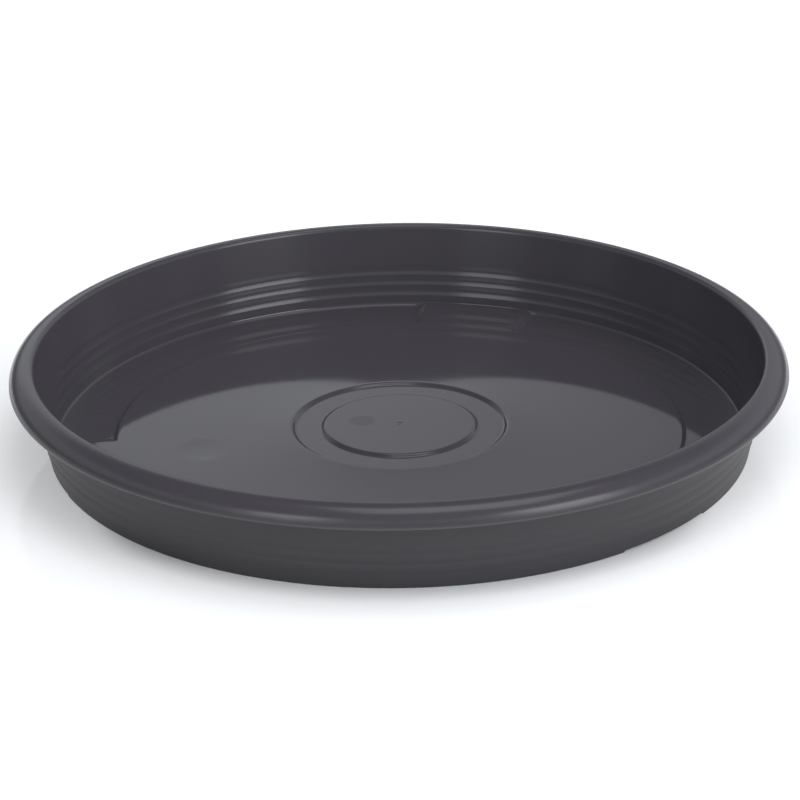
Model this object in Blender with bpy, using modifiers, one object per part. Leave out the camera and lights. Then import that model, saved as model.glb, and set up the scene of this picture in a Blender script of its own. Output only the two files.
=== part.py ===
"""Plant saucer: one moulding with a rolled rim, a ribbed wall, a notched foot and a raised floor.

The origin is on the axis of the saucer, in the plane it stands on, with +Z up.
"""

import math

import bmesh
import bpy
from mathutils import Matrix, Vector

# Overall size, in metres
RIM_DIAMETER = 0.300
HEIGHT = 0.036

# Wall and floor
WALL = 0.0020
FLOOR = 0.0016
WALL_LEAN = math.radians(10.3)
CORNER_ROUNDING = 0.0014
FOOT_ROUNDING = 0.0008

# Rolled rim: it turns over outwards and ends in a lip that hangs free of the wall
RIM_WIDTH = 0.0095
LIP_DROP = 0.0071
LIP_EDGE_ROUNDING = 0.0004
RIM_INNER_ROUNDING = 0.0018
RIM_ROOT_ROUNDING = 0.0010
RIM_ROOT_ANGLE = math.radians(25)

# Ribs round the wall, raised on the outside and hollow on the inside
RIB_COUNT = 3
RIB_BASE = 0.0059
RIB_PITCH = 0.00435
RIB_DEPTH = 0.00025

# Floor: a channel round a raised middle that carries the pot, with a ring groove round a centre disc
CHANNEL_WIDTH = 0.0230
RAISE = 0.0013
DISC_DIAMETER = 0.059
GROOVE_WIDTH = 0.0125
GROOVE_DEPTH = 0.0014
STEP_ROUNDING = 0.0010
EDGE_ROUNDING = 0.0005
STEP_SLOPE = math.radians(45)
CENTRE_CLEARANCE = 0.0001
GATE_DIAMETER = 0.0026
GATE_DEPTH = 0.0003

# Notches through the foot, which let air and water pass under the saucer
NOTCH_COUNT = 3
NOTCH_ANGLE = math.radians(75)
NOTCH_WIDTH = math.radians(18.4)
NOTCH_LEDGE = 0.0002
NOTCH_OVERLAP = 0.0003
CUT_CLEARANCE = 0.004

# Facets
TURN_STEPS = 66
NOTCH_STEPS = 6
RIB_STEPS = 3
ROLL_STEPS = 5
ARC_STEP = math.radians(45)
MERGE_DISTANCE = 0.00001

# Sizes that follow from the ones above
RIM_RADIUS = RIM_DIAMETER / 2
MOUTH_RADIUS = RIM_RADIUS - RIM_WIDTH
FOOT_RADIUS = MOUTH_RADIUS - HEIGHT * math.tan(WALL_LEAN) + WALL / math.cos(WALL_LEAN)
CHANNEL_RADIUS = MOUTH_RADIUS - (HEIGHT - FLOOR) * math.tan(WALL_LEAN)
RAISED_RADIUS = CHANNEL_RADIUS - CHANNEL_WIDTH - RAISE / math.tan(STEP_SLOPE)
DISC_RADIUS = DISC_DIAMETER / 2
GROOVE_RADIUS = DISC_RADIUS + GROOVE_WIDTH
RAISED_TOP = FLOOR + RAISE
MITRE = FLOOR * math.tan(STEP_SLOPE / 2)
NOTCH_ROOF = RAISE - NOTCH_LEDGE

# The bridges over the notches start between the step's underside and the top of the channel's floor.
BRIDGE_LOW = (RAISE - MITRE + NOTCH_OVERLAP + FLOOR) / 2

PLASTIC_COLOUR = (0.051, 0.048, 0.055, 1.0)
PLASTIC_ROUGHNESS = 0.25


def run_of(drop):
    """How far a sloped step of the floor reaches sideways as it drops."""
    return drop / math.tan(STEP_SLOPE)


def face_radius(height, inset):
    """Radius of the wall's outer face at a height, or of the parallel face that lies inset inside it."""
    return FOOT_RADIUS + height * math.tan(WALL_LEAN) - inset / math.cos(WALL_LEAN)


def rib_corners(inset):
    """The ribbed stretch of one face of the wall, from its lowest point up."""
    corners = []
    for step in range(RIB_COUNT * RIB_STEPS + 1):
        height = RIB_BASE + RIB_PITCH * step / RIB_STEPS
        share = step % RIB_STEPS / RIB_STEPS
        bulge = RIB_DEPTH * 4 * share * (1 - share)
        corners.append((face_radius(height, inset - bulge), height, 0))
    return corners


def roll_corners(inset, start, end):
    """An arc of the rim's roll between two angles off the vertical, at an inset from its outer face."""
    crest = MOUTH_RADIUS + RIM_INNER_ROUNDING
    widest = HEIGHT - LIP_DROP + LIP_EDGE_ROUNDING
    reach = RIM_RADIUS - crest - inset
    rise = HEIGHT - widest - inset
    corners = []
    for step in range(ROLL_STEPS + 1):
        angle = start + (end - start) * step / ROLL_STEPS
        corners.append((crest + reach * math.sin(angle), widest + rise * math.cos(angle), 0))
    return corners


def top_corners():
    """The upper side of the section, from the axis out to the rim's crest."""
    groove_top = RAISED_TOP - GROOVE_DEPTH
    return [
        (0, RAISED_TOP - GATE_DEPTH, 0),
        (GATE_DIAMETER / 2, RAISED_TOP, 0),
        (DISC_RADIUS, RAISED_TOP, EDGE_ROUNDING),
        (DISC_RADIUS + run_of(GROOVE_DEPTH), groove_top, EDGE_ROUNDING),
        (GROOVE_RADIUS - run_of(GROOVE_DEPTH), groove_top, EDGE_ROUNDING),
        (GROOVE_RADIUS, RAISED_TOP, EDGE_ROUNDING),
        (RAISED_RADIUS, RAISED_TOP, STEP_ROUNDING),
        (RAISED_RADIUS + run_of(RAISE), FLOOR, STEP_ROUNDING),
        (CHANNEL_RADIUS, FLOOR, CORNER_ROUNDING),
        *rib_corners(WALL),
        (MOUTH_RADIUS, HEIGHT, RIM_INNER_ROUNDING),
    ]


def outer_corners():
    """The outer side, from the rim's crest over the lip and down the wall to the foot."""
    lip_height = HEIGHT - LIP_DROP
    roof = HEIGHT - WALL
    return [
        *roll_corners(0, 0, math.pi / 2),
        (RIM_RADIUS, lip_height, LIP_EDGE_ROUNDING),
        (RIM_RADIUS - WALL, lip_height, LIP_EDGE_ROUNDING),
        *roll_corners(WALL, math.pi / 2, RIM_ROOT_ANGLE),
        (face_radius(roof, 0), roof, RIM_ROOT_ROUNDING),
        *reversed(rib_corners(0)),
        (FOOT_RADIUS, 0, FOOT_ROUNDING),
    ]


def under_corners():
    """The underside, from the foot's inner edge to the axis."""
    ring_run = run_of(RAISE - CENTRE_CLEARANCE)
    return [
        (RAISED_RADIUS + run_of(RAISE) - MITRE, 0, 0),
        (RAISED_RADIUS - MITRE, RAISE, 0),
        (GROOVE_RADIUS + MITRE, RAISE, 0),
        (GROOVE_RADIUS + MITRE - ring_run, CENTRE_CLEARANCE, 0),
        (DISC_RADIUS - MITRE + ring_run, CENTRE_CLEARANCE, 0),
        (DISC_RADIUS - MITRE, RAISE, 0),
        (0, RAISE, 0),
    ]


def add_point(points, point):
    """Add a point to an outline, unless it lies on the last one."""
    if not points or (point - points[-1]).length > MERGE_DISTANCE:
        points.append(point)


def rounded(corners):
    """Points of an outline of (radius, height, rounding) corners, with an arc at each that has a rounding."""
    points = []
    for index, (radius, height, rounding) in enumerate(corners):
        corner = Vector((radius, height))
        if not rounding:
            add_point(points, corner)
            continue
        before = (Vector(corners[index - 1][:2]) - corner).normalized()
        after = (Vector(corners[index + 1][:2]) - corner).normalized()
        half = before.angle(after) / 2
        centre = corner + (before + after).normalized() * rounding / math.sin(half)
        start = corner + before * rounding / math.tan(half) - centre
        sweep = math.copysign(math.pi - 2 * half, -before.cross(after))
        steps = max(1, round(abs(sweep) / ARC_STEP))
        for step in range(steps + 1):
            add_point(points, centre + Matrix.Rotation(sweep * step / steps, 2) @ start)
    return points


def turned(name, points, material, collection):
    """A solid turned about Z from a half section of (radius, height) points."""
    mesh = bpy.data.meshes.new(name)
    edges = [(index, index + 1) for index in range(len(points) - 1)]
    mesh.from_pydata([(point.x, 0, point.y) for point in points], edges, [])
    mesh.materials.append(material)
    solid = bpy.data.objects.new(name, mesh)
    collection.objects.link(solid)
    screw = solid.modifiers.new("turn", "SCREW")
    screw.axis = "Z"
    screw.steps = TURN_STEPS
    screw.render_steps = TURN_STEPS
    screw.use_merge_vertices = True
    screw.merge_threshold = MERGE_DISTANCE
    screw.use_smooth_shade = True
    return solid


def notch_blocks(name, inner, outer, low, high, margin, collection):
    """A ring sector at each notch, a margin wider than the notch at both ends, as one helper mesh."""
    blocks = bmesh.new()
    width = NOTCH_WIDTH + 2 * margin / outer
    for index in range(NOTCH_COUNT):
        start = NOTCH_ANGLE + 2 * math.pi * index / NOTCH_COUNT - width / 2
        turn = Matrix.Rotation(start, 3, "Z")
        section = [(inner, 0, low), (outer, 0, low), (outer, 0, high), (inner, 0, high)]
        face = blocks.faces.new([blocks.verts.new(turn @ Vector(corner)) for corner in section])
        bmesh.ops.spin(
            blocks, geom=[face], cent=(0, 0, 0), axis=(0, 0, 1), angle=width, steps=NOTCH_STEPS
        )
    bmesh.ops.recalc_face_normals(blocks, faces=blocks.faces)
    mesh = bpy.data.meshes.new(name)
    blocks.to_mesh(mesh)
    blocks.free()
    helper = bpy.data.objects.new(name, mesh)
    helper.hide_render = True
    helper.display_type = "WIRE"
    collection.objects.link(helper)
    return helper


def combine(solid, helper, operation):
    """Join a helper to a solid, or cut it away."""
    boolean = solid.modifiers.new(helper.name, "BOOLEAN")
    boolean.operation = operation
    boolean.solver = "EXACT"
    boolean.object = helper


def plastic():
    """Dark slate grey polypropylene with a polished mould finish."""
    material = bpy.data.materials.new("slate_plastic")
    material.use_nodes = True
    shader = material.node_tree.nodes["Principled BSDF"]
    shader.inputs["Base Color"].default_value = PLASTIC_COLOUR
    shader.inputs["Roughness"].default_value = PLASTIC_ROUGHNESS
    shader.inputs["Metallic"].default_value = 0.0
    return material


def new_collection(name):
    collection = bpy.data.collections.new(name)
    bpy.context.scene.collection.children.link(collection)
    return collection


def main():
    for old in list(bpy.data.objects):
        bpy.data.objects.remove(old, do_unlink=True)
    parts = new_collection("plant_saucer")
    cutters = new_collection("plant_saucer_cutters")

    outline = rounded(top_corners() + outer_corners() + under_corners())
    saucer = turned("saucer", outline, plastic(), parts)

    # The floor rises over each notch to stay as thick as it is elsewhere.
    bridges = notch_blocks(
        "notch_bridges",
        inner=RAISED_RADIUS - NOTCH_OVERLAP,
        outer=face_radius(NOTCH_ROOF, WALL / 2),
        low=BRIDGE_LOW,
        high=NOTCH_ROOF + FLOOR,
        margin=FLOOR,
        collection=cutters,
    )
    combine(saucer, bridges, "UNION")
    gaps = notch_blocks(
        "notch_gaps",
        inner=RAISED_RADIUS - CUT_CLEARANCE,
        outer=face_radius(NOTCH_ROOF, 0) + CUT_CLEARANCE,
        low=-CUT_CLEARANCE,
        high=NOTCH_ROOF,
        margin=0,
        collection=cutters,
    )
    combine(saucer, gaps, "DIFFERENCE")


if __name__ == "__main__":
    main()
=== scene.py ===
"""A moulded plant saucer and its studio stage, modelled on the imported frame.

Laid out as an add-on: the properties hold the sizes, finishes and lights that a user would change, one
operator turns the moulding and one sets the stage. Lengths are in metres, +Z is up, and the origin is
on the saucer's axis in the plane it stands on.
"""

import math

import bmesh
import bpy
from bpy.props import FloatProperty, FloatVectorProperty, IntProperty, PointerProperty
from mathutils import Matrix, Vector


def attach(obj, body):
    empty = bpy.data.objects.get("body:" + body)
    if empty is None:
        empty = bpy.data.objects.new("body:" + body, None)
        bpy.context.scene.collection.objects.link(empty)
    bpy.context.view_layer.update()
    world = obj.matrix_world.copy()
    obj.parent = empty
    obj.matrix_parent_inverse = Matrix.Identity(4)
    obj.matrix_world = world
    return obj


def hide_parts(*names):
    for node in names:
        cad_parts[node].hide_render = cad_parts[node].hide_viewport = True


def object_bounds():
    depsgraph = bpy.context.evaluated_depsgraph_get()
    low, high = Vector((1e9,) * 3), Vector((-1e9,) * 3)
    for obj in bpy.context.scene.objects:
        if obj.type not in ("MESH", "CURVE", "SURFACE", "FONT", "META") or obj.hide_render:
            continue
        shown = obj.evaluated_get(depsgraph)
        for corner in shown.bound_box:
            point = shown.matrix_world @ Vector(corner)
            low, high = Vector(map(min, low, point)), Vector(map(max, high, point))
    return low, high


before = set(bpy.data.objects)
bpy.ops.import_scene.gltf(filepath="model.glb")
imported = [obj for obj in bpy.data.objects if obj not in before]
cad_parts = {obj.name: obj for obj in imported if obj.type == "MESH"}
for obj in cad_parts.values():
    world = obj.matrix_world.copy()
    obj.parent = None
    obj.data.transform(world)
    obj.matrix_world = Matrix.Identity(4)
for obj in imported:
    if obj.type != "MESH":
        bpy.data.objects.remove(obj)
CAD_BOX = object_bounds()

bl_info = {
    "name": "Plant Saucer",
    "version": (1, 0, 0),
    "blender": (4, 5, 0),
    "location": "3D View > Sidebar > Saucer",
    "description": "Turns a moulded plant saucer and sets a pale studio stage round it",
    "category": "Object",
}

NODE = "saucer"


def length(name, default, description):
    """A property that holds a length in metres."""
    return FloatProperty(
        name=name,
        description=description,
        default=default,
        min=0.0,
        precision=5,
        unit="LENGTH",
        subtype="DISTANCE",
    )


def position(name, default, description):
    """A property that holds a place, with a length in metres along each axis."""
    return FloatVectorProperty(
        name=name,
        description=description,
        default=default,
        size=len(default),
        precision=5,
        unit="LENGTH",
    )


def angle(name, degrees, description):
    """A property that holds an angle, with its default given in degrees."""
    return FloatProperty(name=name, description=description, default=math.radians(degrees), subtype="ANGLE")


def share(name, default, description):
    """A property that holds a share from 0 to 1."""
    return FloatProperty(
        name=name,
        description=description,
        default=default,
        min=0.0,
        max=1.0,
        precision=3,
        subtype="FACTOR",
    )


def strength(name, default, description):
    """A property that holds a plain strength."""
    return FloatProperty(name=name, description=description, default=default, min=0.0, precision=3)


def colour(name, default, description):
    """A property that holds a linear colour."""
    return FloatVectorProperty(
        name=name,
        description=description,
        default=default,
        size=len(default),
        min=0.0,
        max=1.0,
        precision=4,
        subtype="COLOR",
    )


class PLANTSAUCER_PG_shape(bpy.types.PropertyGroup):
    """Sizes of the moulding."""

    rim_diameter: length("Rim diameter", CAD_BOX[1].x - CAD_BOX[0].x, "Width over the rolled rim")
    height: length("Height", CAD_BOX[1].z - CAD_BOX[0].z, "From the foot to the rim's crest")
    wall: length("Wall", 0.0020, "Thickness of the wall and the rim")
    floor: length("Floor", 0.0016, "Thickness of the floor")
    wall_lean: angle("Wall lean", 10.3, "How far the wall leans outwards from upright")
    corner_rounding: length("Corner rounding", 0.0014, "Between the channel and the wall, inside")
    foot_rounding: length("Foot rounding", 0.0008, "Between the wall and the foot, outside")
    rim_width: length("Rim width", 0.0095, "From the mouth's edge to the rim's widest point")
    lip_drop: length("Lip drop", 0.0071, "From the rim's crest to the lip's lower edge")
    lip_rounding: length("Lip rounding", 0.0004, "On both lower edges of the lip")
    mouth_rounding: length("Mouth rounding", 0.0018, "Where the wall turns into the rim, inside")
    root_rounding: length("Root rounding", 0.0010, "Where the wall meets the rim's underside")
    root_angle: angle("Root angle", 25, "Where the rim's underside leaves its roll, off the vertical")
    rib_count: IntProperty(name="Ribs", description="Ribs round the wall", default=3, min=0)
    rib_base: length("Rib base", 0.0059, "Height of the lowest rib's lower edge")
    rib_pitch: length("Rib pitch", 0.00435, "From one rib to the next")
    rib_depth: length("Rib depth", 0.00025, "How far a rib stands out from the wall")
    channel_width: length("Channel width", 0.0230, "Width of the low ring round the raised floor")
    floor_rise: length("Floor rise", 0.00105, "How far the raised floor's edge stands above the channel")
    crown: length("Crown", 0.0010, "How far the raised floor rises towards the groove")
    crown_radius: length("Crown radius", 0.110, "Where the crown starts to rise")
    disc_diameter: length("Disc diameter", 0.059, "Width of the disc in the middle")
    groove_width: length("Groove width", 0.0125, "Width of the ring groove round the disc")
    groove_depth: length("Groove depth", 0.0011, "Depth of the ring groove")
    step_rounding: length("Step rounding", 0.0010, "On the edges of the raised floor")
    edge_rounding: length("Edge rounding", 0.0005, "On the edges of the underside")
    groove_rounding: length("Groove rounding", 0.0016, "On the edges of the groove")
    step_slope: angle("Step slope", 45, "Slope of the floor's steps")
    centre_clearance: length("Centre clearance", 0.0001, "From the ground to the groove's underside")
    gate_diameter: length("Gate mark", 0.0026, "Width of the mark that the gate leaves in the middle")
    gate_depth: length("Gate mark depth", 0.00012, "Depth of the gate's mark")
    notch_count: IntProperty(name="Notches", description="Notches through the foot", default=3, min=0)
    notch_angle: angle("Notch place", 75, "Direction of the first notch from +X")
    notch_width: angle("Notch width", 18.4, "Width of a notch, seen from the axis")
    dimple_place: length("Dimple place", 0.079, "Distance of the floor's dimple from the axis")
    dimple_angle: angle("Dimple angle", 195, "Direction of the floor's dimple from +X")
    dimple_diameter: length("Dimple diameter", 0.020, "Width of the dimple")
    dimple_depth: length("Dimple depth", 0.00014, "Depth of the dimple")

    def mouth(self):
        """Radius of the bowl's opening."""
        return self.rim_diameter / 2 - self.rim_width

    def foot(self):
        """Radius of the wall's outer face on the ground."""
        return self.mouth() - self.height * math.tan(self.wall_lean) + self.wall / math.cos(self.wall_lean)

    def channel(self):
        """Outer radius of the low ring round the raised floor."""
        return self.face(self.floor, self.wall)

    def raised(self):
        """Radius of the raised floor's edge."""
        return self.channel() - self.channel_width - self.run(self.floor_rise)

    def raised_top(self):
        """Height of the raised floor's edge."""
        return self.floor + self.floor_rise

    def crown_at(self, radius):
        """How far the crowned floor stands above its edge."""
        part = (self.crown_radius - radius) / (self.crown_radius - self.groove())
        return self.crown * min(max(part, 0.0), 1.0) ** CROWN_POWER

    def disc(self):
        """Radius of the disc in the middle."""
        return self.disc_diameter / 2

    def groove(self):
        """Outer radius of the ring groove."""
        return self.disc() + self.groove_width

    def mitre(self):
        """How far a step's edge on the underside is set in, so that the step is as thick as the floor."""
        return self.floor * math.tan(self.step_slope / 2)

    def run(self, drop):
        """How far a sloped step of the floor reaches sideways as it drops."""
        return drop / math.tan(self.step_slope)

    def face(self, height, inset):
        """Radius of the wall's outer face at a height, or of the parallel face at an inset from it."""
        return self.foot() + height * math.tan(self.wall_lean) - inset / math.cos(self.wall_lean)


class PLANTSAUCER_PG_finish(bpy.types.PropertyGroup):
    """Look of the plastic, with a painted shade on its outer wall."""

    plastic: colour("Plastic", (0.0526, 0.0484, 0.0560), "Colour of the plastic")
    plastic_light: colour("Light flow", (0.0551, 0.0507, 0.0586), "Colour of the lighter flow marks")
    floor_roughness: share("Floor roughness", 0.05, "Roughness of the polished floor")
    wall_roughness: share("Wall roughness", 0.15, "Roughness of the wall, inside")
    rim_roughness: share("Rim roughness", 0.20, "Roughness of the rim")
    outer_roughness: share("Outer roughness", 0.45, "Roughness of the outer wall")
    # Painted shade: the outer wall's colour is scaled down by this share, a darker copy of the same plastic
    # standing in for shade.
    outer_painted_shade: share("Outer painted shade", 0.58, "How light the outer wall's plastic is beside the rest")
    under_roughness: share("Underside roughness", 0.45, "Roughness of the underside")
    flow_roughness: share("Flow marks", 0.02, "How much the roughness changes in the flow marks")
    grain: share("Grain", 0.05, "Strength of the fine grain")
    grain_size: length("Grain size", 0.0007, "Size of the fine grain")
    pin_place: position("Pin mark place", (-0.0146, 0.0032), "Place of the ejector pin's mark on the disc")
    pin_diameter: length("Pin mark", 0.0105, "Width of the ejector pin's mark")
    pin_roughness: share("Pin roughness", 0.20, "How much duller the pin's mark is")


class PLANTSAUCER_PG_stage(bpy.types.PropertyGroup):
    """Camera, lights and ground."""

    camera_place: position("Camera place", (0.0, -1.017014, 0.444532), "Where the camera stands")
    camera_aim: position("Camera aim", (0.000272, 0.0, 0.013568), "What the camera looks at")
    camera_roll: angle("Camera roll", -0.9083, "Turn of the camera about its own line of sight")
    camera_reach: FloatProperty(
        name="Focal length",
        description="Focal length in pixels of the image",
        default=2835.16,
        min=1.0,
        subtype="PIXEL",
    )
    ground: share("Ground", 0.80, "How pale the ground is")
    sheet_width: length("Sheet width", 0.60, "Width of the pale sheet on the ground")
    sheet_depth: length("Sheet depth", 1.40, "Depth of the pale sheet on the ground")
    ground_glow: share("Ground glow", 0.30, "How far the ground is lifted to white, away from the saucer")
    backdrop: strength("Backdrop", 0.465, "Brightness of the backdrop that the saucer mirrors")
    backdrop_patch: strength("Backdrop patch", 0.31, "Added brightness of its paler patch, low on the left")
    ceiling: strength("Ceiling", 0.05, "Brightness of what the saucer mirrors above the backdrop")
    table: strength("Table", 0.12, "Brightness of what the saucer mirrors below the backdrop")
    fill: strength("Fill", 0.37, "Even light from all round")
    side_fill: strength("Side fill", 0.88, "Soft light from the front right")
    left_lamp: strength("Left lamp", 1.7, "Brightness of the tall soft box at the front left")
    left_core: strength("Left core", 1.4, "Added brightness at the top of the left soft box")
    right_lamp: strength("Right lamp", 2.9, "Brightness of the tall soft box at the front right")
    right_core: strength("Right core", 0.8, "Added brightness at the top of the right soft box")
    top_lamp: strength("Top lamp", 1.6, "Brightness of the soft box overhead")


# How finely the section is cut: an arc's step, steps of a rib and of a roll, gap of the floor's rings.
ARC_STEP = math.radians(9)
RIB_STEPS = 8
ROLL_STEPS = 18
FLOOR_STEP = 0.0011

# A stretch longer than HOLD_OVER gets a ring at HOLD from each end.
HOLD = 0.00018
HOLD_OVER = 0.0012

# Points that lie closer than this are one point.
MERGE_DISTANCE = 0.00001

# Widest turn between two columns of points, away from the notches and in them, and the share of a step
# by which a turn may be too long for its steps.
COARSE_TURN = math.radians(1.5)
FINE_TURN = math.radians(1.0)
STEP_SPARE = 0.001

# Turns that the sides of a notch take below, that its bridge reaches past it above, that the bridge's ends
# take, and by which a point may lie past an edge and still count.
UNDER_SLOPE = math.radians(0.25)
BRIDGE_MARGIN = math.radians(0.7)
BRIDGE_SLOPE = math.radians(0.6)
SPARE_TURN = math.radians(0.02)

# The higher the power, the more of the crown's rise lies close to the groove.
CROWN_POWER = 3

# The gate mark's section, as shares of its radius and of its depth.
GATE_SECTION = ((0, 0.4), (0.25, 0.45), (0.42, 1), (0.75, 0.8), (1, 0))

# Edges of the moulding that turn by less than this are shaded smooth.
SMOOTH_BELOW = math.radians(42)


def named(item, name):
    """Give an object and its data one name."""
    item.name = name
    item.data.name = name
    return item


def rib_corners(shape, inset):
    """The ribbed stretch of one face of the wall, from its lowest point up."""
    corners = []
    for step in range(shape.rib_count * RIB_STEPS + 1):
        height = shape.rib_base + shape.rib_pitch * step / RIB_STEPS
        part = step % RIB_STEPS / RIB_STEPS
        # A parabola that is 0 at both edges of a rib and the rib's depth halfway.
        bulge = shape.rib_depth * 4 * part * (1 - part)
        corners.append((shape.face(height, inset - bulge), height, 0))
    return corners


def roll_corners(shape, inset, start, end):
    """An arc of the rim's roll between two angles off the vertical, at an inset from its outer face."""
    crest = shape.mouth() + shape.mouth_rounding
    widest = shape.height - shape.lip_drop + shape.lip_rounding
    reach = shape.rim_diameter / 2 - crest - inset
    rise = shape.height - widest - inset
    corners = []
    for step in range(ROLL_STEPS + 1):
        turn = start + (end - start) * step / ROLL_STEPS
        corners.append((crest + reach * math.sin(turn), widest + rise * math.cos(turn), 0))
    return corners


def floor_corners(shape):
    """The upper side of the floor, from the axis out to the wall."""
    edge = shape.raised_top()
    top = edge + shape.crown
    low = top - shape.groove_depth
    run = shape.run(shape.groove_depth)
    gate = shape.gate_diameter / 2
    corners = [(gate * reach, top - shape.gate_depth * depth, 0) for reach, depth in GATE_SECTION]
    corners += [
        (shape.disc(), top, shape.groove_rounding),
        (shape.disc() + run, low, shape.groove_rounding),
        (shape.groove() - run, low, shape.groove_rounding),
        (shape.groove(), top, shape.groove_rounding),
    ]
    # Rings of the crowned floor, counted from the one that runs through the dimple.
    first = math.ceil((shape.groove() - shape.dimple_place) / FLOOR_STEP) + 1
    last = math.floor((shape.raised() - shape.dimple_place) / FLOOR_STEP) - 1
    for ring in range(first, last + 1):
        radius = shape.dimple_place + FLOOR_STEP * ring
        corners.append((radius, edge + shape.crown_at(radius), 0))
    return corners + [
        (shape.raised(), edge, shape.step_rounding),
        (shape.raised() + shape.run(shape.floor_rise), shape.floor, shape.step_rounding),
        (shape.channel(), shape.floor, shape.corner_rounding),
    ]


def outer_corners(shape):
    """The outer side, from the rim's crest over the lip and down the wall to the foot."""
    rim = shape.rim_diameter / 2
    lip = shape.height - shape.lip_drop
    roof = shape.height - shape.wall
    return [
        *roll_corners(shape, 0, 0, math.pi / 2),
        (rim, lip, shape.lip_rounding),
        (rim - shape.wall, lip, shape.lip_rounding),
        *roll_corners(shape, shape.wall, math.pi / 2, shape.root_angle),
        (shape.face(roof, 0), roof, shape.root_rounding),
        *reversed(rib_corners(shape, 0)),
        (shape.foot(), 0, shape.foot_rounding),
    ]


def under_corners(shape):
    """The underside, from the foot's inner edge to the axis."""
    rise = shape.floor_rise
    clear = shape.centre_clearance
    mitre = shape.mitre()
    run = shape.run(rise - clear)
    edge = shape.edge_rounding
    return [
        (shape.raised() + shape.run(rise) - mitre, 0, edge),
        (shape.raised() - mitre, rise, edge),
        (shape.groove() + mitre, rise, edge),
        (shape.groove() + mitre - run, clear, edge),
        (shape.disc() - mitre + run, clear, edge),
        (shape.disc() - mitre, rise, edge),
        (0, rise, 0),
    ]


def rounded(corners):
    """Points of an outline of (radius, height, rounding) corners, with an arc where there is a rounding."""
    points = []
    for index, (radius, height, rounding) in enumerate(corners):
        corner = Vector((radius, height))
        if not rounding:
            points.append(corner)
            continue
        before = (Vector(corners[index - 1][:2]) - corner).normalized()
        after = (Vector(corners[index + 1][:2]) - corner).normalized()
        half = before.angle(after) / 2
        centre = corner + (before + after).normalized() * rounding / math.sin(half)
        start = corner + before * rounding / math.tan(half) - centre
        sweep = math.copysign(math.pi - 2 * half, -before.cross(after))
        steps = max(1, round(abs(sweep) / ARC_STEP))
        for step in range(steps + 1):
            points.append(centre + Matrix.Rotation(sweep * step / steps, 2) @ start)
    return points


def section(shape):
    """The half section as (radius, height) points, with one close to each end of a flat to hold it flat."""
    corners = floor_corners(shape) + rib_corners(shape, shape.wall)
    corners += [(shape.mouth(), shape.height, shape.mouth_rounding)]
    corners += outer_corners(shape) + under_corners(shape)
    points = []
    for point in rounded(corners):
        gap = (point - points[-1]).length if points else 1
        if gap <= MERGE_DISTANCE:
            continue
        if points and gap > HOLD_OVER:
            start = points[-1]
            points.append(start.lerp(point, HOLD / gap))
            points.append(start.lerp(point, 1 - HOLD / gap))
        points.append(point)
    return points


def draw_section(name, points):
    """Draw the half section in the XZ plane, by pulling one point along it."""
    bpy.ops.object.select_all(action="DESELECT")
    bpy.ops.mesh.primitive_plane_add(location=(0, 0, 0))
    saucer = named(bpy.context.object, name)
    bpy.ops.object.mode_set(mode="EDIT")
    bpy.ops.mesh.select_mode(type="VERT")
    bpy.ops.mesh.select_all(action="SELECT")
    bpy.ops.mesh.merge(type="CENTER")
    bpy.ops.transform.translate(value=(points[0].x, 0, points[0].y))
    for last, point in zip(points, points[1:]):
        move = point - last
        bpy.ops.mesh.extrude_region_move(TRANSFORM_OT_translate={"value": (move.x, 0, move.y)})
    return saucer


def notch_places(shape):
    """Direction of each notch, from 0 to a full turn."""
    turn = 2 * math.pi
    places = [shape.notch_angle + turn * index / shape.notch_count for index in range(shape.notch_count)]
    return sorted(place % turn for place in places)


def turn_section(shape):
    """Spin the section round the axis, with columns of points where the notches start and end."""
    half = shape.notch_width / 2
    ends = [half, half + UNDER_SLOPE, half + BRIDGE_MARGIN, half + BRIDGE_MARGIN + BRIDGE_SLOPE]
    stops = []
    for place in notch_places(shape):
        stops += [(place - end, COARSE_TURN) for end in reversed(ends)]
        stops += [(place, FINE_TURN), (place + ends[0], FINE_TURN)]
        stops += [(place + end, COARSE_TURN) for end in ends[1:]]
    stops.append((2 * math.pi, COARSE_TURN))
    bpy.ops.mesh.select_all(action="SELECT")
    last = 0
    for stop, step in stops:
        steps = math.ceil((stop - last) / step - STEP_SPARE)
        bpy.ops.mesh.spin(steps=steps, angle=stop - last, center=(0, 0, 0), axis=(0, 0, -1))
        last = stop
    bpy.ops.mesh.select_all(action="SELECT")
    bpy.ops.mesh.remove_doubles(threshold=MERGE_DISTANCE)
    bpy.ops.mesh.normals_make_consistent(inside=False)


def select_points(saucer, wanted):
    """Select the points of the mesh that are wanted by their place."""
    bpy.ops.mesh.select_mode(type="VERT")
    bpy.ops.mesh.select_all(action="DESELECT")
    mesh = bmesh.from_edit_mesh(saucer.data)
    found = [point for point in mesh.verts if wanted(point.co)]
    if not found:
        raise RuntimeError("no points of the saucer were found there")
    for point in found:
        point.select_set(True)
    mesh.select_flush_mode()
    bmesh.update_edit_mesh(saucer.data)


def raise_notches(saucer, shape):
    """Lift the foot's ring over each notch, and the channel's floor with it."""
    roof = shape.floor_rise
    bridge = shape.raised_top()
    half = shape.notch_width / 2
    middle = shape.face(0, shape.wall / 2)
    lean = math.tan(shape.wall_lean)
    between = bridge / 2

    def apart(point, place):
        turn = math.atan2(point.y, point.x) - place
        return abs(math.remainder(turn, 2 * math.pi))

    for place in notch_places(shape):

        def upper(point):
            radius = point.xy.length
            inside = radius - point.z * lean < middle and radius > shape.raised() - shape.step_rounding
            near = apart(point, place) < half + BRIDGE_MARGIN + SPARE_TURN
            return near and inside and between < point.z < bridge

        def lower(point):
            radius = point.xy.length
            outside = radius > shape.raised() - shape.mitre() - shape.edge_rounding
            return apart(point, place) < half + SPARE_TURN and outside and point.z < roof

        select_points(saucer, upper)
        bpy.ops.transform.resize(value=(1, 1, 0), center_override=(0, 0, bridge))
        select_points(saucer, lower)
        bpy.ops.transform.resize(value=(1, 1, 0), center_override=(0, 0, roof))


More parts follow.
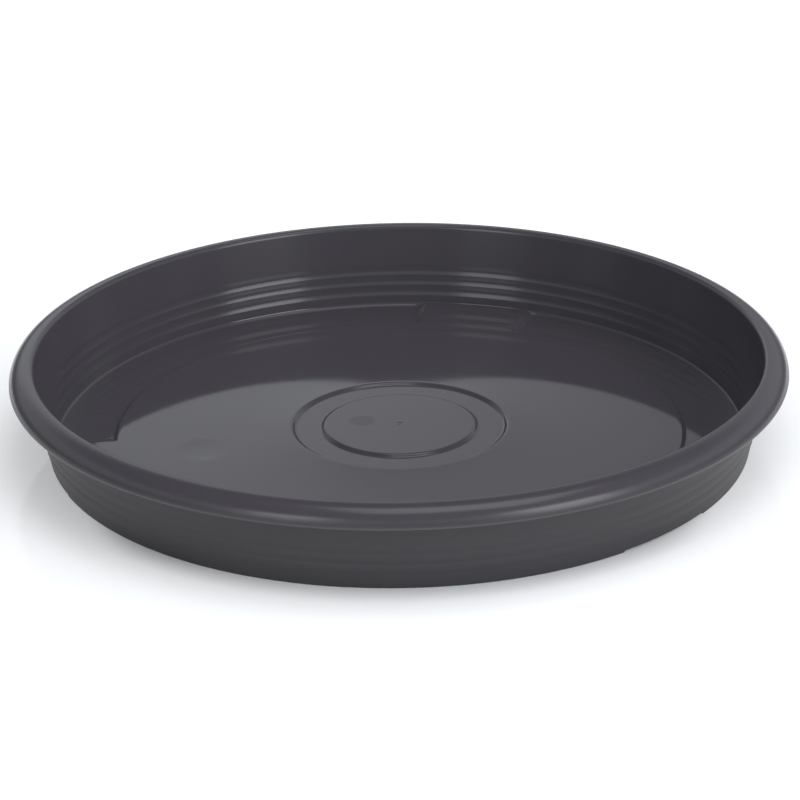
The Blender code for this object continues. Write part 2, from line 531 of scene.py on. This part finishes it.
def press_dimple(saucer, shape):
    """Press a shallow round dimple into the raised floor."""
    centre = Vector((math.cos(shape.dimple_angle), math.sin(shape.dimple_angle), 0)) * shape.dimple_place
    centre.z = shape.raised_top() + shape.crown_at(shape.dimple_place)
    reach = FLOOR_STEP / 2
    select_points(saucer, lambda point: (point - centre).length < reach)
    bpy.ops.transform.translate(
        value=(0, 0, -shape.dimple_depth),
        use_proportional_edit=True,
        use_proportional_connected=True,
        proportional_edit_falloff="INVERSE_SQUARE",
        proportional_size=shape.dimple_diameter / 2,
    )


class Nodes:
    """Short ways to add nodes to one node tree."""

    def __init__(self, tree):
        self.tree = tree
        tree.nodes.clear()

    def add(self, kind, **settings):
        node = self.tree.nodes.new(kind)
        for name, value in settings.items():
            setattr(node, name, value)
        return node

    def set(self, socket, value):
        """Link a socket to another, or give it a plain value."""
        if isinstance(value, bpy.types.NodeSocket):
            self.tree.links.new(value, socket)
        else:
            socket.default_value = value

    def split(self, vector):
        """The sockets X, Y and Z of a vector."""
        node = self.add("ShaderNodeSeparateXYZ")
        self.set(node.inputs[0], vector)
        return node.outputs

    def maths(self, operation, first, second):
        node = self.add("ShaderNodeMath", operation=operation)
        self.set(node.inputs[0], first)
        self.set(node.inputs[1], second)
        return node.outputs[0]

    def vector(self, operation, first, second=None):
        node = self.add("ShaderNodeVectorMath", operation=operation)
        self.set(node.inputs[0], first)
        if second is not None:
            self.set(node.inputs["Scale" if operation == "SCALE" else 1], second)
        return node.outputs["Value" if operation in ("LENGTH", "DOT_PRODUCT", "DISTANCE") else "Vector"]

    def ramp(self, value, low, high, start=0.0, end=1.0):
        """A smooth step from start to end, as value goes from low to high."""
        node = self.add("ShaderNodeMapRange", interpolation_type="SMOOTHSTEP")
        self.set(node.inputs["Value"], value)
        self.set(node.inputs["From Min"], low)
        self.set(node.inputs["From Max"], high)
        self.set(node.inputs["To Min"], start)
        self.set(node.inputs["To Max"], end)
        return node.outputs["Result"]

    def mix(self, share, first, second):
        """A mix of two numbers, which use sockets 2 and 3 of the node."""
        node = self.add("ShaderNodeMix", data_type="FLOAT")
        self.set(node.inputs[0], share)
        self.set(node.inputs[2], first)
        self.set(node.inputs[3], second)
        return node.outputs[0]

    def mix_colour(self, share, first, second):
        """A mix of two colours, which use sockets 6 and 7 of the node."""
        node = self.add("ShaderNodeMix", data_type="RGBA")
        self.set(node.inputs[0], share)
        self.set(node.inputs[6], first)
        self.set(node.inputs[7], second)
        return node.outputs[2]

    def noise(self, vector, scale, detail, roughness):
        node = self.add("ShaderNodeTexNoise")
        self.set(node.inputs["Vector"], vector)
        self.set(node.inputs["Scale"], scale)
        self.set(node.inputs["Detail"], detail)
        self.set(node.inputs["Roughness"], roughness)
        return node.outputs["Fac"]


# Where one finish gives way to the next, the outer wall's painted shade among them: start and end of each
# change, in metres from an edge of the shape.
WALL_CHANGE = (-0.0004, 0.0004)  # outwards from the middle of the wall
ROLL_CHANGE = (0.0044, 0.0)  # up from the lip's lower edge
LIP_REACH = (-0.0010, -0.0004)  # outwards from the rim's widest point
LIP_RISE = (0.0012, 0.0005)  # up from the lip's lower edge
RIM_RISE = (-0.0020, -0.0008)  # up from the rim's crest
INNER_RISE = (0.0004, 0.0020)  # up from the raised floor's edge
INNER_REACH = (-0.0040, -0.0020)  # outwards from the channel's outer edge
UNDER_RISE = (0.0004, 0.0)  # up from the raised floor's edge

# Start and end of two more changes: the Z of the normal of a face, and shares of the pin mark's width.
UNDER_FACING = (-0.5, -0.9)
PIN_CHANGE = (0.62, 0.38)

# Flow marks: how fast they change along the radius, scale, detail and roughness of the two noises, how much
# of the sum is the first one, and the part of the sum that is used.
FLOW_RATE = 6.0
FLOW_NOISE = (7.0, 3.0, 0.55)
CLOUD_NOISE = (22.0, 2.0, 0.5)
FLOW_SHARE = 0.6
FLOW_RANGE = (0.2, 0.8)

# Grain: detail and roughness of its noise, its height, and its strength where the mould was polished.
GRAIN_NOISE = (2.0, 0.6)
GRAIN_HEIGHT = 0.00005
POLISHED_GRAIN = 0.25

PLASTIC_IOR = 1.5


def past(edge, change):
    """Start and end of a change of finish that is measured from an edge."""
    start, end = change
    return edge + start, edge + end


def finish_zones(nodes, shape, radius, height):
    """Sockets that are 1 on the inner wall, on the rim and all outside, on the outer wall and underneath."""
    lip = shape.height - shape.lip_drop
    top = shape.raised_top()

    # The wall leans, so the radius is taken back to foot level before it tells inside from outside.
    lean = nodes.maths("MULTIPLY", height, math.tan(shape.wall_lean))
    at_foot = nodes.maths("SUBTRACT", radius, lean)
    outside = nodes.ramp(at_foot, *past(shape.face(0, shape.wall / 2), WALL_CHANGE))

    # The outer wall's roughness and painted shade fade out up the roll. The lip's lower edge is left out of
    # them, so it keeps the plastic's full colour and stands out as a thin light line beside the painted
    # shade.
    outer_wall = nodes.maths("MULTIPLY", outside, nodes.ramp(height, *past(lip, ROLL_CHANGE)))
    lip_side = nodes.ramp(radius, *past(shape.rim_diameter / 2, LIP_REACH))
    lip_edge = nodes.maths("MULTIPLY", lip_side, nodes.ramp(height, *past(lip, LIP_RISE)))
    outer_wall = nodes.maths("MULTIPLY", outer_wall, nodes.maths("SUBTRACT", 1.0, lip_edge))

    rim = nodes.ramp(height, *past(shape.height, RIM_RISE))
    outside = nodes.maths("MAXIMUM", outside, rim)

    by_wall = nodes.ramp(radius, *past(shape.channel(), INNER_REACH))
    inner_wall = nodes.maths("MULTIPLY", nodes.ramp(height, *past(top, INNER_RISE)), by_wall)

    normal = nodes.add("ShaderNodeNewGeometry").outputs["Normal"]
    facing_down = nodes.ramp(nodes.split(normal)["Z"], *UNDER_FACING)
    under = nodes.maths("MULTIPLY", facing_down, nodes.ramp(height, *past(top, UNDER_RISE)))
    return inner_wall, outside, outer_wall, under


def flow_marks(nodes, place, across, radius):
    """A socket from 0 to 1 with marks that run out from the gate in the middle, broken up by clouds."""
    along = nodes.add("ShaderNodeCombineXYZ")
    nodes.set(along.inputs["Z"], nodes.maths("MULTIPLY", radius, FLOW_RATE))
    flow_place = nodes.vector("ADD", nodes.vector("NORMALIZE", across), along.outputs[0])
    flow = nodes.maths("MULTIPLY", nodes.noise(flow_place, *FLOW_NOISE), FLOW_SHARE)
    cloud = nodes.maths("MULTIPLY", nodes.noise(place, *CLOUD_NOISE), 1.0 - FLOW_SHARE)
    return nodes.ramp(nodes.maths("ADD", flow, cloud), *FLOW_RANGE)


def slate_plastic(shape, finish):
    """Dark slate grey polypropylene: polished floor, satin outside, painted shade on the outer wall, flow
    marks, a dull pin mark.
    """
    material = bpy.data.materials.new("slate_plastic_moulded")
    material.use_nodes = True
    nodes = Nodes(material.node_tree)
    place = nodes.add("ShaderNodeTexCoord").outputs["Object"]
    across = nodes.vector("MULTIPLY", place, (1.0, 1.0, 0.0))
    radius = nodes.vector("LENGTH", across)
    inner_wall, outside, outer_wall, under = finish_zones(nodes, shape, radius, nodes.split(place)["Z"])
    flow = flow_marks(nodes, place, across, radius)

    pin_gap = nodes.vector("DISTANCE", across, (*finish.pin_place, 0.0))
    pin_start, pin_end = PIN_CHANGE
    pin = nodes.ramp(pin_gap, finish.pin_diameter * pin_start, finish.pin_diameter * pin_end)
    pin = nodes.maths("MULTIPLY", pin, nodes.maths("SUBTRACT", 1.0, under))

    roughness = nodes.mix(inner_wall, finish.floor_roughness, finish.wall_roughness)
    roughness = nodes.mix(outside, roughness, finish.rim_roughness)
    roughness = nodes.mix(outer_wall, roughness, finish.outer_roughness)
    roughness = nodes.mix(under, roughness, finish.under_roughness)
    roughness = nodes.maths("ADD", roughness, nodes.maths("MULTIPLY", flow, finish.flow_roughness))
    roughness = nodes.maths("ADD", roughness, nodes.maths("MULTIPLY", pin, finish.pin_roughness))

    satin = nodes.maths("MAXIMUM", outside, under)
    bump = nodes.add("ShaderNodeBump")
    nodes.set(bump.inputs["Height"], nodes.noise(place, 1.0 / finish.grain_size, *GRAIN_NOISE))
    nodes.set(bump.inputs["Strength"], nodes.mix(satin, finish.grain * POLISHED_GRAIN, finish.grain))
    nodes.set(bump.inputs["Distance"], GRAIN_HEIGHT)

    tint = nodes.mix_colour(flow, (*finish.plastic, 1.0), (*finish.plastic_light, 1.0))
    # Painted shade: the outer wall's colour is darkened by the outer painted shade share.
    tint = nodes.vector("SCALE", tint, nodes.mix(outer_wall, 1.0, finish.outer_painted_shade))

    shader = nodes.add("ShaderNodeBsdfPrincipled")
    nodes.set(shader.inputs["Base Color"], tint)
    nodes.set(shader.inputs["Roughness"], roughness)
    nodes.set(shader.inputs["Normal"], bump.outputs["Normal"])
    shader.inputs["IOR"].default_value = PLASTIC_IOR
    shader.inputs["Metallic"].default_value = 0.0
    output = nodes.add("ShaderNodeOutputMaterial")
    nodes.set(output.inputs["Surface"], shader.outputs[0])
    return material


class PLANTSAUCER_OT_moulding(bpy.types.Operator):
    """Turn the saucer from its section, lift the notches, press the dimple and give it its plastic"""

    bl_idname = "plant_saucer.moulding"
    bl_label = "Saucer moulding"

    def execute(self, context):
        shape = context.scene.plant_saucer_shape
        saucer = draw_section("saucer_moulding", section(shape))
        turn_section(shape)
        raise_notches(saucer, shape)
        press_dimple(saucer, shape)
        bpy.ops.object.mode_set(mode="OBJECT")
        bpy.ops.object.shade_smooth_by_angle(angle=SMOOTH_BELOW)
        saucer.data.materials.clear()
        saucer.data.materials.append(slate_plastic(shape, context.scene.plant_saucer_finish))
        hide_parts(NODE)
        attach(saucer, "root")
        return {"FINISHED"}


# The side of the photo in pixels, and the camera's sensor in millimetres and nearest distance in metres.
IMAGE_SIDE = 800
SENSOR = 36.0
CLIP_START = 0.01

# Turn from the camera's side, rise, width and height of each soft box, in degrees seen from the saucer.
LAMPS = {
    "left_lamp": (32, 20, 19, 32),
    "left_core": (32, 33, 17, 18),
    "right_lamp": (-47, 21, 27, 34),
    "right_core": (-45, 32, 23, 20),
    "top_lamp": (-95, 82, 32, 32),
}
LAMP_DISTANCE = 2.4

# The backdrop that the saucer mirrors: the Z of the directions where it starts and is full, up from the
# table and down from the ceiling, then turn and rise of its paler patch, and the cosines of the angles
# off the patch's middle where the patch starts and is full.
BACKDROP_FOOT = (math.sin(math.radians(5)), math.sin(math.radians(13)))
BACKDROP_TOP = (math.sin(math.radians(42)), math.sin(math.radians(27)))
PATCH_PLACE = (168, 15)
PATCH_SPREAD = (math.cos(math.radians(19)), math.cos(math.radians(3)))

# Turn and rise of the side fill, the cosines where it starts and is full, and the tint of the room.
SIDE_PLACE = (-60, 25)
SIDE_SPREAD = (-0.2, 0.9)
ROOM_TINT = (0.96, 1.0, 1.05, 1.0)
WHITE = (1.0, 1.0, 1.0, 1.0)

# The sheet on the ground: how far it is moved back, as a share of its depth, and how smooth it is.
SHEET_SHIFT = 0.07
SHEET_ROUGHNESS = 0.06

# Where the sheet's sheen sets in along Y and dies away from the axis, and how strong it is.
SHEEN_START = (-0.160, -0.060)
SHEEN_END = (0.240, 0.170)
SHEEN = 0.2

# Where the glow sets in from the axis, where along Y it comes closer to the saucer and by how much, where
# along Y it grows to its full strength and from what share of that.
# Held back close to the saucer and weaker in front, the glow leaves a painted shadow round the foot, on top
# of the real one.
GLOW_START = (0.135, 0.149)
CLOSER_START = (-0.110, -0.060)
CLOSER = 0.012
GLOW_GROWTH = (-0.200, 0.250)
FRONT_GLOW = 0.8


def bearing(turn, rise):
    """Direction at a turn from the camera's side, clockwise seen from above, and a rise, in degrees."""
    turn = math.radians(-turn)
    rise = math.radians(rise)
    return Vector((math.sin(turn) * math.cos(rise), -math.cos(turn) * math.cos(rise), math.sin(rise)))


def shown(nodes, path):
    """A socket that is 1 for what the camera sees, straight, in a gloss or through something clear."""
    seen = nodes.maths("MAXIMUM", path["Is Camera Ray"], path["Is Glossy Ray"])
    return nodes.maths("MAXIMUM", seen, path["Is Transmission Ray"])


def studio_world(scene, stage):
    """White to the camera, a grey backdrop in the gloss, and a fill that is strongest at the front right."""
    world = bpy.data.worlds.new("studio")
    scene.world = world
    world.use_nodes = True
    nodes = Nodes(world.node_tree)
    direction = nodes.add("ShaderNodeTexCoord").outputs["Generated"]
    rise = nodes.split(direction)["Z"]

    toward_patch = nodes.vector("DOT_PRODUCT", direction, bearing(*PATCH_PLACE))
    patch = nodes.maths("MULTIPLY", nodes.ramp(toward_patch, *PATCH_SPREAD), stage.backdrop_patch)
    backdrop = nodes.mix(nodes.ramp(rise, *BACKDROP_TOP), stage.ceiling, stage.backdrop)
    backdrop = nodes.maths("ADD", patch, backdrop)
    mirrored = nodes.mix(nodes.ramp(rise, *BACKDROP_FOOT), stage.table, backdrop)

    toward_side = nodes.vector("DOT_PRODUCT", direction, bearing(*SIDE_PLACE))
    soft = nodes.ramp(toward_side, *SIDE_SPREAD, stage.fill, stage.fill + stage.side_fill)

    path = nodes.add("ShaderNodeLightPath").outputs
    level = nodes.mix(shown(nodes, path), soft, mirrored)
    level = nodes.mix(path["Is Camera Ray"], level, 1.0)
    background = nodes.add("ShaderNodeBackground")
    nodes.set(background.inputs["Color"], nodes.mix_colour(path["Is Camera Ray"], ROOM_TINT, WHITE))
    nodes.set(background.inputs["Strength"], level)
    output = nodes.add("ShaderNodeOutputWorld")
    nodes.set(output.inputs["Surface"], background.outputs[0])


def white_ground(stage):
    """A pale sheet that glows to white away from the saucer, leaving a painted shadow round its foot, with a
    soft sheen beside and behind it.
    """
    material = bpy.data.materials.new("white_ground")
    material.use_nodes = True
    nodes = Nodes(material.node_tree)
    place = nodes.add("ShaderNodeTexCoord").outputs["Object"]
    depth = nodes.split(place)["Y"]
    radius = nodes.vector("LENGTH", place)

    sheen = nodes.maths("MULTIPLY", nodes.ramp(depth, *SHEEN_START), nodes.ramp(radius, *SHEEN_END))
    closer = nodes.ramp(depth, *CLOSER_START, 0.0, CLOSER)
    level = nodes.ramp(depth, *GLOW_GROWTH, stage.ground_glow * FRONT_GLOW, stage.ground_glow)
    # Painted shadow: the glow is withheld near the foot, most in front, so the sheet stays darker there on
    # top of its real shadow.
    glow = nodes.maths("MULTIPLY", nodes.ramp(nodes.maths("ADD", radius, closer), *GLOW_START), level)
    seen = shown(nodes, nodes.add("ShaderNodeLightPath").outputs)

    shader = nodes.add("ShaderNodeBsdfPrincipled")
    shader.inputs["Base Color"].default_value = (stage.ground, stage.ground, stage.ground, 1.0)
    shader.inputs["Roughness"].default_value = SHEET_ROUGHNESS
    shader.inputs["Emission Color"].default_value = WHITE
    nodes.set(shader.inputs["Specular IOR Level"], nodes.maths("MULTIPLY", sheen, SHEEN))
    nodes.set(shader.inputs["Emission Strength"], nodes.maths("MULTIPLY", seen, glow))
    output = nodes.add("ShaderNodeOutputMaterial")
    nodes.set(output.inputs["Surface"], shader.outputs[0])
    return material


def lay_sheet(stage):
    """Lay the pale sheet that the saucer stands on."""
    bpy.ops.object.select_all(action="DESELECT")
    bpy.ops.mesh.primitive_plane_add(size=1.0, location=(0, 0, 0))
    ground = named(bpy.context.object, "ground")
    bpy.ops.object.mode_set(mode="EDIT")
    bpy.ops.mesh.select_all(action="SELECT")
    bpy.ops.transform.resize(value=(stage.sheet_width, stage.sheet_depth, 1), center_override=(0, 0, 0))
    bpy.ops.transform.translate(value=(0, stage.sheet_depth * SHEET_SHIFT, 0))
    bpy.ops.object.mode_set(mode="OBJECT")
    ground.data.materials.append(white_ground(stage))


def soft_lamp(name, turn, rise, width, height, brightness):
    """Set up a soft box that faces the saucer, its width and height given as angles seen from there."""
    place = bearing(turn, rise) * LAMP_DISTANCE
    facing = (-place).to_track_quat("-Z", "Y").to_euler()
    bpy.ops.object.light_add(type="AREA", location=place, rotation=facing)
    lamp = named(bpy.context.object, name).data
    lamp.shape = "RECTANGLE"
    lamp.size = 2 * LAMP_DISTANCE * math.tan(math.radians(width / 2))
    lamp.size_y = 2 * LAMP_DISTANCE * math.tan(math.radians(height / 2))
    lamp.energy = brightness * math.pi * lamp.size * lamp.size_y


def photo_camera(stage):
    """Place the camera as it was fitted to the photo's outlines."""
    place = Vector(stage.camera_place)
    facing = (Vector(stage.camera_aim) - place).to_track_quat("-Z", "Y").to_matrix()
    facing = facing @ Matrix.Rotation(stage.camera_roll, 3, "Z")
    bpy.ops.object.camera_add(location=place, rotation=facing.to_euler())
    camera = named(bpy.context.object, "photo_camera")
    camera.data.sensor_width = SENSOR
    camera.data.lens = stage.camera_reach * SENSOR / IMAGE_SIDE
    camera.data.clip_start = CLIP_START
    return camera


class PLANTSAUCER_OT_stage(bpy.types.Operator):
    """Lay a pale sheet, set soft lamps round it and place the camera"""

    bl_idname = "plant_saucer.stage"
    bl_label = "Studio stage"

    def execute(self, context):
        scene = context.scene
        stage = scene.plant_saucer_stage
        scene.view_settings.view_transform = "Standard"
        studio_world(scene, stage)
        lay_sheet(stage)
        for name, angles in LAMPS.items():
            soft_lamp(name, *angles, getattr(stage, name))
        scene.camera = photo_camera(stage)
        return {"FINISHED"}


class PLANTSAUCER_PT_sidebar(bpy.types.Panel):
    """Lists the saucer's operators and what they build from."""

    bl_idname = "PLANTSAUCER_PT_sidebar"
    bl_label = "Plant Saucer"
    bl_space_type = "VIEW_3D"
    bl_region_type = "UI"
    bl_category = "Saucer"

    def draw(self, context):
        for step, group in (
            (PLANTSAUCER_OT_moulding, context.scene.plant_saucer_shape),
            (None, context.scene.plant_saucer_finish),
            (PLANTSAUCER_OT_stage, context.scene.plant_saucer_stage),
        ):
            box = self.layout.box()
            if step:
                box.operator(step.bl_idname)
            for name in group.__annotations__:
                box.prop(group, name)


GROUPS = {
    "plant_saucer_shape": PLANTSAUCER_PG_shape,
    "plant_saucer_finish": PLANTSAUCER_PG_finish,
    "plant_saucer_stage": PLANTSAUCER_PG_stage,
}
CLASSES = (*GROUPS.values(), PLANTSAUCER_OT_moulding, PLANTSAUCER_OT_stage, PLANTSAUCER_PT_sidebar)


def register():
    for item in CLASSES:
        bpy.utils.register_class(item)
    for name, group in GROUPS.items():
        setattr(bpy.types.Scene, name, PointerProperty(type=group))


def unregister():
    for name in GROUPS:
        delattr(bpy.types.Scene, name)
    for item in reversed(CLASSES):
        bpy.utils.unregister_class(item)


def main():
    register()
    bpy.ops.plant_saucer.moulding()
    bpy.ops.plant_saucer.stage()


if __name__ == "__main__":
    main()
